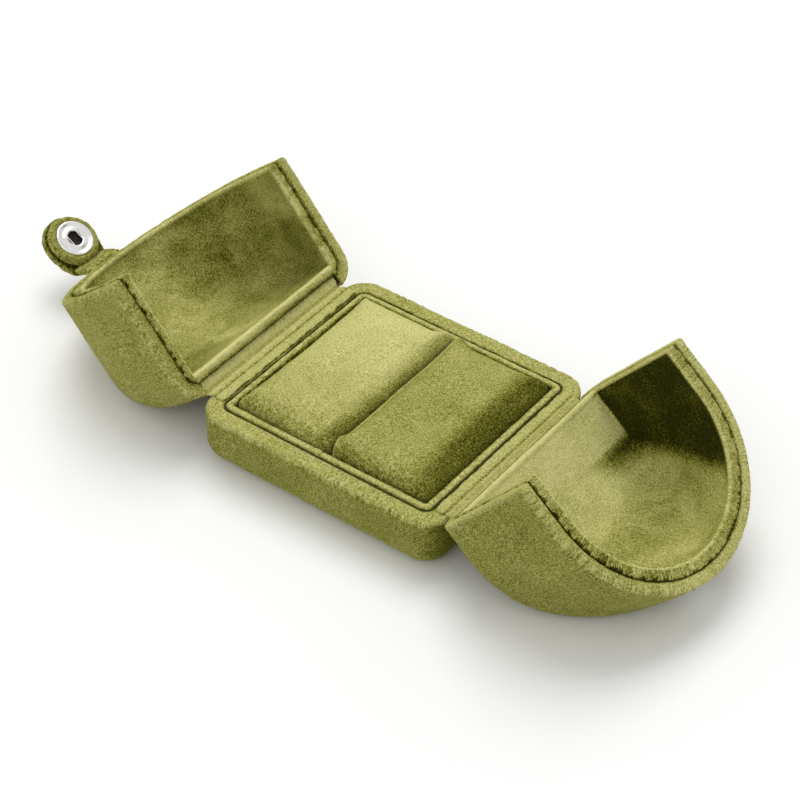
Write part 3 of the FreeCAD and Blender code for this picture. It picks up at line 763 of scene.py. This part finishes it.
def make_cover_lining(side, name):
    """A cover's inner velvet, rolled over the inner moulding's edges, with its raw edge at the seam."""
    def inner(u, y, v):
        """The lining's inner surface: rolled inward at its edges, creased above the hinge."""
        at_rim, at_foot = ramp(u, RIM - 1.8, RIM - 0.7), ramp(-v, -FOOT - 1.8, -FOOT - 0.8)
        along_hinge = ramp(HALF_DEPTH - abs(y), ROLL_AT_RIM - 0.5, ROLL_AT_RIM)
        roll = np.maximum(at_rim, at_foot * (1.6 * along_hinge - 1))
        crease = 0.6 + 7 * ramp(v, 13, 24)
        return dome(u, y, v, LINING_IN + (ROLL_AT_RIM - LINING_IN) * roll, crease)

    def field(u, y, v):
        wrap = dome(u, y, v, LINER_OUT - seam_shift(u), CORNER - LINER_OUT)
        wrap = rounded(rounded(wrap, u - RIM, LINING_EDGE), FOOT - v, LINING_EDGE)
        wrap = rounded(wrap, -inner(u, y, v), ROLL_ROUND)
        moulding = np.maximum(
            dome(u, y, v, LINER_OUT, CORNER - LINER_OUT),
            -dome(u, y, v, LINER_IN, PILE + 1.2),
        )
        moulding = np.maximum(np.maximum(moulding, u - RIM + PILE), FOOT + PILE - v)
        return np.maximum(wrap, -moulding)

    def relief(u, y, v, points):
        thread = 0.35 * ridge(v, FOOT, 0.6) * ridge(u, LINER_OUT + 0.95, 0.2)
        tufts = open_pile(u, y, v, points, side, 61)
        return 0.18 * on_faces(u, v) * tufts - thread + 0.10 * lumps(points, 8, 64)

    def rim_nap_and_painted_shade(u, y, v, points):
        """Open pile inside a dark seam that breaks into holes, both painted shade."""
        from_seam = -dome(u, y, v, 0, CORNER) - SEAM_AT_RIM
        places = np.stack([along_edge(u, y, v), 0 * u, 0 * u], 1)
        holes = ridge(from_seam, 0.5, 0.4) * ramp(lumps(places, 0.9, 68), 0.0, 0.4)
        seam = 1 - ramp(from_seam, 0.15, 0.5)
        return 0.12 + 0.3 * open_pile(u, y, v, points, side, 61) - seam - holes

    def foot_painted_shade_and_light(u):
        """Painted shade and light: a dark line in the gap at the liner's edge, then a dark strip, and a pale one
        beyond it.
        """
        from_liner = u - LINER_OUT
        line = 1 - ramp(from_liner, 0.15, 0.4)
        return 0.9 * ramp(from_liner, 0.8, 1.0) - 0.35 - 0.7 * line

    def inside_nap_and_painted_shading(u, y, v, points):
        """Smudged, with painted light and shade: the right cover's back painted dark and its end wall pale, the
        left one fairly even but painted darker towards its front and back.
        """
        smudges = lumps(points * (1, 0.6, 1), 9, 65 + side)
        if side < 0:
            # the left cover painted darker towards its front and back walls
            return 0.26 + 0.16 * smudges - 0.3 * ramp(-y, -2, 20) - 0.31 * ramp(y, -5, 22)
        # painted shade on the right cover's back wall, fading upwards
        on_back = ramp(y, HALF_DEPTH - LINING_IN - 3, HALF_DEPTH - LINING_IN - 1.2)
        on_back = np.where(v > ARCH_LEG, ramp(y, 8, 20), on_back)
        on_back = on_back * ramp(u, LINING_IN, LINING_IN + 0.6)
        fade = 1 - ramp(v - 0.5 * u, 7, 17)
        # painted light on the right cover's end wall
        end_wall = (1 - ramp(u, LINING_IN, 13)) * (1 - on_back)
        return 0.22 + 0.6 * end_wall + 0.08 * smudges - 2.1 * on_back * fade

    def nap_and_painted_shading(u, y, v, points):
        faces = on_faces(u, v)
        at_foot = ~by_rim(u, v) & (abs(y) < HALF_DEPTH - ROLL_AT_RIM)
        edge = np.where(at_foot, foot_painted_shade_and_light(u), rim_nap_and_painted_shade(u, y, v, points))
        # painted highlight along the crest where the lining rolls over the moulding, paler towards the front
        crest = 1 - ramp(np.minimum(RIM - u, v - FOOT), 0.7, 1.5)
        crest = ridge(inner(u, y, v), 0.2, 0.4) * crest
        pale = 0.55 + 0.3 * ramp(-y, 5, 15)
        return faces * edge + (1 - faces) * inside_nap_and_painted_shading(u, y, v, points) + pale * crest

    def tuft(u, y, v, points):
        return 0.05 + 0.45 * on_faces(u, v) * combed_rim(u, v) * toward_front(y)

    points, quads = meshed(field, (LINER_OUT, -HALF_DEPTH, FOOT), COVER_HIGH)
    piece = velvet_piece(
        f"{name}_cover_lined", points, quads, cover_place(side), relief=relief, nap_and_painted_shading=nap_and_painted_shading, tuft=tuft,
        along=along_edge, brush=0.25 if side > 0 else 0.3, seed=66 + side,
    )
    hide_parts(f"{name}_cover_lining")
    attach(piece, f"{name}_cover")


# ------------------------------------------------------------------------------- hinge tapes
def make_tape(side, name):
    """Velvet tape from the base's rim, over the hinge line, into the step under the cover's wall."""
    def in_step(u, drop):
        return RIGHT @ Vector((u, 0, STEP_HEIGHT - drop))

    start, end = in_step(0.1, 0.25), in_step(STEP_DEPTH - 0.1, 0.25)
    edge = Vector((HALF_WIDTH - 0.5, 0, RIM_TOP + 0.22))
    inner_end = HALF_WIDTH - BASE_RIM + 0.6
    route = [(inner_end, edge.z), (edge.x, edge.z), (start.x, start.z), (end.x, end.z)]
    half = STEP_HALF - 0.3
    crease, bulge = in_step(0.6, 0.8), in_step(2.1, 0.6)

    def field(x, y, z):
        return rounded(path(x, z, route) - TAPE_THICK_HALF, abs(y) - half, TAPE_EDGE)

    def near(x, z, place, reach):
        return np.exp(-(((x - place.x) ** 2 + (z - place.z) ** 2) / reach**2))

    def folds(x, z):
        """Two creases along the hinge, and the ridge beyond them."""
        creases = ridge(x, HALF_WIDTH - 1.35, 0.3) + near(x, z, crease, 0.4)
        return creases, near(x, z, bulge, 0.7)

    def relief(x, y, z, points):
        creases, crest = folds(x, z)
        ruffled = crest * (1 + 0.3 * strokes(y, x, 76))
        return 0.25 * ruffled - 0.28 * creases + 0.08 * lumps(points, 1.0, 72)

    def nap_and_painted_shading(x, y, z, points):
        creases, crest = folds(x, z)
        # painted shade at the cut end in the step and at the tape's ragged inner end
        cut = near(x, z, end, 0.4)
        ragged = 0.3 * lumps(np.stack([y, 0 * y, 0 * y], 1), 1.2, 77)
        ends = ramp(inner_end + ragged - x, 0, 0.3)
        # painted light on the tape in the step, where its shade falls
        painted_light_in_step = (0.3 - 0.12 * side) * ramp(x, HALF_WIDTH - 0.4, HALF_WIDTH + 0.6)
        tone = 0.52 - 0.04 * side + painted_light_in_step
        # painted shade in the creases and painted light on the ridge beyond them
        return tone - 0.75 * creases + 0.35 * crest - 1.3 * cut - ends

    def tuft(x, y, z, points):
        return 0.15 + 0.35 * folds(x, z)[1]

    def along(x, y, z, points):
        return y

    low, high = (inner_end - 1, -half - 0.5, start.z - 1), (end.x + 1, half + 0.5, end.z + 1)
    points, quads = meshed(field, low, high)
    piece = velvet_piece(
        f"{name}_hinge_tape", points, quads, Matrix.Diagonal((side, 1, 1, 1)), relief=relief, nap_and_painted_shading=nap_and_painted_shading,
        tuft=tuft, along=along, seed=73 + side,
    )
    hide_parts(f"{name}_tape_on_base", f"{name}_tape_on_cover")
    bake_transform(piece)


# ------------------------------------------------------------------------------- strap
def make_strap():
    """One strip: glued on the crown, bent at the cover's rim, and round where it carries the snap."""
    to_cover = (LEFT.inverted() @ STRAP).to_3x3()
    offset = (LEFT.inverted() @ STRAP).translation
    bend = STRAP.inverted() @ LEFT @ BEND
    neck = [(bend.x - 0.4, bend.z - 0.1), (bend.x, bend.z), (-TAB_RADIUS + 0.6, 3.9), (-4, 4.3)]

    def field(s, y, n):
        u = to_cover[0][0] * s + to_cover[0][2] * n + offset.x
        v = to_cover[2][0] * s + to_cover[2][2] * n + offset.z
        on_crown = dome(u, y, v, 0, CORNER)
        root = on_crown - ROOT_THICK + 0.5 * ramp(u, 30, 35)
        root = rounded(rounded(root, abs(y) - STRAP_HALF, 0.6), ROOT_START - u, 0.8)
        root = np.maximum(np.maximum(root, u - HALF_WIDTH - 0.2), -on_crown - 0.3)
        width = STRAP_HALF + (TAB_PUFF - STRAP_HALF) * ramp(s, bend.x, -1)
        strip = rounded(path(s, n, neck) - STRAP_THICK_HALF, abs(y) - width, 0.8)
        back_layer = abs(n - (TAB_BACK + SEAM_OF_TAB) / 2) - (TAB_BACK - SEAM_OF_TAB) / 2
        tab = rounded(np.hypot(s, y) - TAB_PUFF, back_layer, 1.2)
        return melted(melted(root, strip, 0.8), tab, 0.9)

    def relief(s, y, n, points):
        return 0.1 * lumps(points, 1.1, 82) + 0.1 * lumps(points, 4, 83)

    def nap_and_painted_shading(s, y, n, points):
        # painted shade in the seam where the tab's two layers meet
        return 0.02 - ridge(n, SEAM_OF_TAB, 0.4) * ramp(np.hypot(s, y), 5, 6.5)

    def tuft(s, y, n, points):
        return 0.08 + 0.2 * ramp(np.hypot(s, y), TAB_RADIUS - 1.5, TAB_RADIUS)

    points, quads = meshed(field, (bend.x - 11, -8, -8), (8.5, 8, 6.5))
    piece = velvet_piece(
        "strap_velvet", points, quads, STRAP, relief=relief, nap_and_painted_shading=nap_and_painted_shading, tuft=tuft, seed=81
    )
    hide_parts("strap_root", "strap_outer_velvet")
    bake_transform(piece)

    def front(s, y, n):
        radius = np.hypot(s, y)
        outside = radius - TAB_RADIUS + 0.5 * (SEAM_OF_TAB - n)
        ring = rounded(outside, SOCKET_RADIUS - 0.1 - radius, 0.6)
        return rounded(rounded(ring, n - SEAM_OF_TAB, 0.8), 0.7 - n, 0.5)

    points, quads = meshed(front, (-8, -8, 0), (8, 8, 3.5))
    layer = velvet_piece(
        "strap_front_velvet", points, quads, STRAP, relief=relief, nap_and_painted_shading=nap_and_painted_shading, tuft=tuft, seed=84
    )
    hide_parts("strap_inner_velvet")
    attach(layer, "strap")


def make_snap():
    """The snap: a socket with its spring's well, a cap behind it, and the stud on the other cover.

    Each profile is (radius, n) in the frame of the strap or of the stud.
    """
    socket = [
        (0, 1.85), (1.9, 1.85), (1.95, 1.6), (1.95, 0.95), (2.05, 0.72), (2.3, 0.62), (2.7, 0.64),
        (3.1, 0.85), (3.5, 0.98), (3.9, 0.9), (4.2, 0.7), (4.45, 0.6), (4.7, 0.62), (4.9, 0.75),
        (5.0, 1.0), (5.0, 1.9), (4.9, 2.0), (0, 2.0),
    ]
    piece = lathe("socket_ring", socket[::-1], STRAP)
    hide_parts("snap_socket")
    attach(piece, "strap")
    # the well is lined with painted shade, dark where its hole is in shade
    well = [(0, 1.84), (1.75, 1.8), (1.93, 1.6), (1.93, 0.9), (1.97, 0.9), (1.97, 1.87), (0, 1.87)]
    piece = lathe("socket_well", well[::-1], STRAP, "painted_well_shade")
    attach(piece, "strap")
    top = TAB_BACK
    cap = [
        (0, top - 0.2), (4.5, top - 0.2), (4.75, top - 0.05), (4.8, top + 0.15), (4.6, top + 0.4),
        (3.8, top + 0.6), (2.4, top + 0.68), (0, top + 0.7),
    ]
    piece = lathe("snap_cap_dome", cap, STRAP)
    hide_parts("snap_cap")
    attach(piece, "strap")
    stud = [
        (0, -0.3), (4.2, -0.3), (4.55, -0.1), (4.6, 0.1), (4.5, 0.3), (4.1, 0.4), (2.2, 0.4),
        (1.6, 0.5), (1.4, 0.7), (1.4, 0.9), (1.55, 1.0), (1.72, 1.1), (1.75, 1.25), (1.65, 1.4),
        (1.3, 1.48), (0, 1.5),
    ]
    piece = lathe("stud", stud, STUD)
    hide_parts("snap_stud")
    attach(piece, "right_cover")


# ------------------------------------------------------------------------------- stage
def seen_directly(nodes, links):
    """1 where the camera sees a thing, itself or in metal or glass, and 0 where its light falls."""
    rays = nodes.new("ShaderNodeLightPath")
    total = rays.outputs["Is Camera Ray"]
    for kind in ("Is Glossy Ray", "Is Transmission Ray"):
        either = nodes.new("ShaderNodeMath")
        either.operation = "MAXIMUM"
        links.new(total, either.inputs[0])
        links.new(rays.outputs[kind], either.inputs[1])
        total = either.outputs[0]
    return total


def make_stage():
    signs = ((-1, -1), (1, -1), (1, 1), (-1, 1))
    corners = [(x * FLOOR_HALF, y * FLOOR_HALF, 0) for x, y in signs]
    mesh = bpy.data.meshes.new("floor")
    mesh.from_pydata(corners, [], [(0, 1, 2, 3)])
    floor = bpy.data.objects.new("floor", mesh)
    bpy.context.scene.collection.objects.link(floor)
    material, nodes, links, shader = new_material("floor")
    shader.inputs["Roughness"].default_value = 0.9
    shader.inputs["Specular IOR Level"].default_value = 0.0
    shade = nodes.new("ShaderNodeMixRGB")
    shade.inputs["Color1"].default_value = (0.8, 0.8, 0.8, 1)
    shade.inputs["Color2"].default_value = (1, 1, 1, 1)
    links.new(seen_directly(nodes, links), shade.inputs["Fac"])
    links.new(shade.outputs["Color"], shader.inputs["Base Color"])
    mesh.materials.append(material)

    world = bpy.data.worlds.new("studio")
    bpy.context.scene.world = world
    world.use_nodes = True
    nodes, links = world.node_tree.nodes, world.node_tree.links
    ambient = nodes["Background"]
    ambient.inputs["Color"].default_value = (1, 1, 1, 1)
    ambient.inputs["Strength"].default_value = 0.62
    bright = nodes.new("ShaderNodeBackground")
    bright.inputs["Strength"].default_value = 1.0
    bright.inputs["Color"].default_value = (1, 1, 1, 1)
    mix = nodes.new("ShaderNodeMixShader")
    links.new(seen_directly(nodes, links), mix.inputs["Fac"])
    links.new(ambient.outputs[0], mix.inputs[1])
    links.new(bright.outputs[0], mix.inputs[2])
    links.new(mix.outputs[0], nodes["World Output"].inputs["Surface"])


def make_lamp(name, at, size, watts):
    """A round lamp that faces the origin."""
    lamp = bpy.data.lights.new(name, "AREA")
    lamp.shape = "DISK"
    lamp.size = size
    lamp.energy = watts
    holder = bpy.data.objects.new(name, lamp)
    holder.location = at
    holder.rotation_euler = (-Vector(at)).to_track_quat("-Z", "Y").to_euler()
    bpy.context.scene.collection.objects.link(holder)


def make_camera(azimuth=37.0, elevation=41.0, distance=0.65, pixels_per_mm=4.25):
    """The camera looks down at the box's middle from the front and the right."""
    a, e = math.radians(azimuth), math.radians(elevation)
    back = Vector((math.sin(a) * math.cos(e), -math.cos(a) * math.cos(e), math.sin(e)))
    target = Vector((2.8, -1.3, 16.0)) * MM
    camera = bpy.data.cameras.new("camera")
    camera.sensor_fit, camera.sensor_width = "HORIZONTAL", SENSOR
    camera.lens = pixels_per_mm * distance / MM / PICTURE_WIDTH * camera.sensor_width
    camera.clip_start = 0.01
    holder = bpy.data.objects.new("camera", camera)
    holder.location = target + back * distance
    holder.rotation_euler = back.to_track_quat("Z", "Y").to_euler()
    bpy.context.scene.collection.objects.link(holder)
    bpy.context.scene.camera = holder


make_base()
make_lip()
for side, name in ((-1, "left"), (1, "right")):
    make_pad(side)
    make_cover_wrap(side, name)
    make_cover_lining(side, name)
    make_tape(side, name)
make_strap()
make_snap()
make_stage()
make_lamp("key", (-0.75, 0.85, 2.1), size=1.8, watts=27)
make_lamp("fill", (0.4, -1.2, 1.2), size=0.8, watts=2)
make_camera()
bpy.context.scene.view_settings.view_transform = "Standard"
